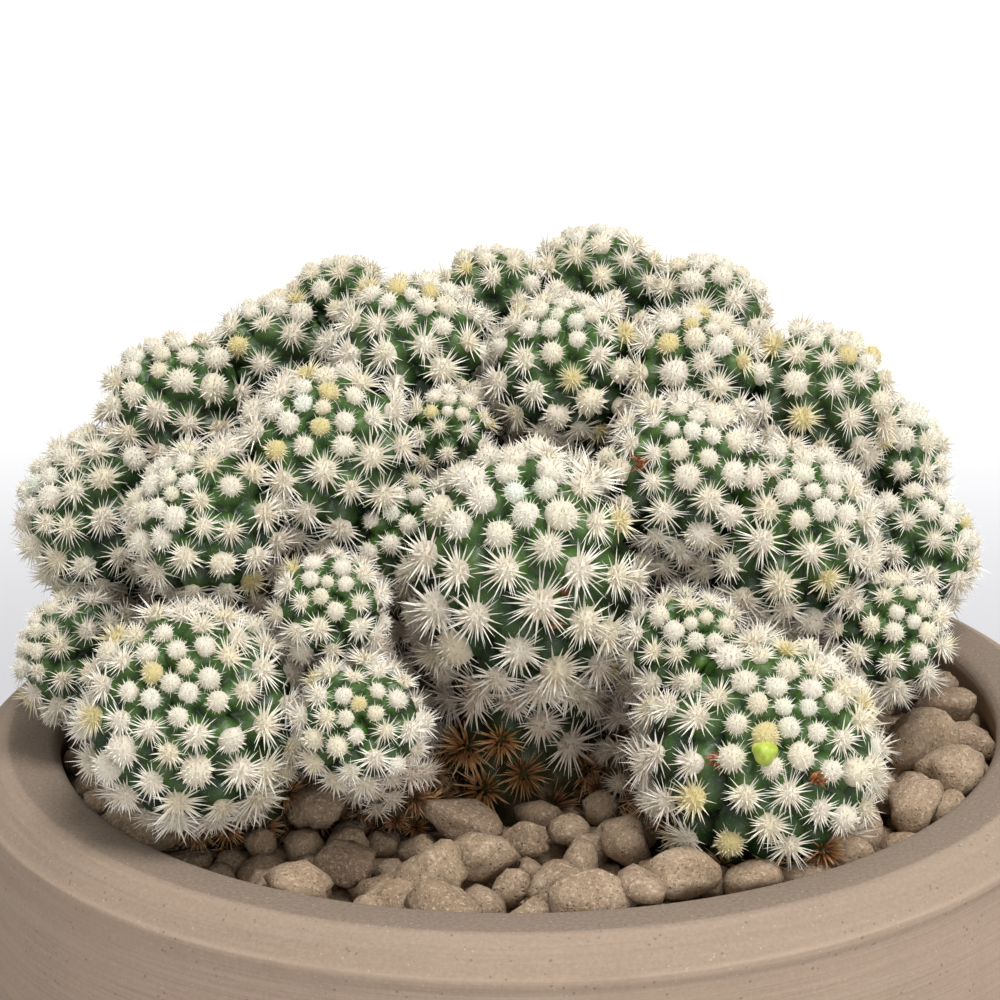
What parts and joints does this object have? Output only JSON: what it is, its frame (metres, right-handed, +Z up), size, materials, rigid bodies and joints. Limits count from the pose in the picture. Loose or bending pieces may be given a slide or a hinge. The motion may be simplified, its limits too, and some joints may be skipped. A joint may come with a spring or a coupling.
{
  "type": "potted round cactus",
  "caption": "Clump of round, warty, white-spined cactus heads growing in a wide turned clay bowl with soil and a pumice top dressing; stands on its foot ring.",
  "frame": {"origin": "middle of the foot ring's flat underside, on the bowl's axis, at the height of the surface it stands on", "axes": "+Z up along the bowl's axis, +X to the plant's right seen from the front, -Y towards the viewer at the plant's front"},
  "size_m": [0.204, 0.204, 0.1706],
  "materials": {
    "turned_clay": "matte",
    "mesh_plastic": "matte",
    "potting_soil": "matte",
    "cactus_flesh": "satin",
    "pumice": "matte"
  },
  "bodies": {
    "root": {"bowl": "turned_clay", "drain_mesh": "mesh_plastic", "head_back_centre": "cactus_flesh", "head_back_far_right": "cactus_flesh", "head_back_left": "cactus_flesh", "head_back_low_centre": "cactus_flesh", "head_back_low_left": "cactus_flesh", "head_back_low_right": "cactus_flesh", "head_back_right": "cactus_flesh", "head_back_side_left": "cactus_flesh", "head_back_side_right": "cactus_flesh", "head_crown_centre": "cactus_flesh", "head_crown_left": "cactus_flesh", "head_crown_left_back": "cactus_flesh", "head_crown_middle_back": "cactus_flesh", "head_crown_right": "cactus_flesh", "head_front_centre": "cactus_flesh", "head_front_left": "cactus_flesh", "head_front_right": "cactus_flesh", "head_inner_left": "cactus_flesh", "head_inner_right": "cactus_flesh", "head_left": "cactus_flesh", "head_left_low": "cactus_flesh", "head_right": "cactus_flesh", "head_shoulder_left": "cactus_flesh", "head_shoulder_left_back": "cactus_flesh", "head_shoulder_right": "cactus_flesh", "head_side_left": "cactus_flesh", "head_side_left_low": "cactus_flesh", "head_side_right": "cactus_flesh", "head_side_right_low": "cactus_flesh", "head_top_back_centre": "cactus_flesh", "head_top_back_right": "cactus_flesh", "pebble_01": "pumice", "pebble_02": "pumice", "pebble_03": "pumice", "pebble_04": "pumice", "pebble_05": "pumice", "pebble_06": "pumice", "pebble_07": "pumice", "pebble_08": "pumice", "pebble_09": "pumice", "pebble_10": "pumice", "pebble_11": "pumice", "pebble_12": "pumice", "pebble_13": "pumice", "pebble_14": "pumice", "pebble_15": "pumice", "pebble_16": "pumice", "pebble_17": "pumice", "pebble_18": "pumice", "pebble_19": "pumice", "pebble_20": "pumice", "pup_crown_left": "cactus_flesh", "pup_far_right": "cactus_flesh", "pup_front_left": "cactus_flesh", "pup_left_of_centre": "cactus_flesh", "pup_right_of_centre": "cactus_flesh", "soil": "potting_soil"}
  },
  "joints": []
}
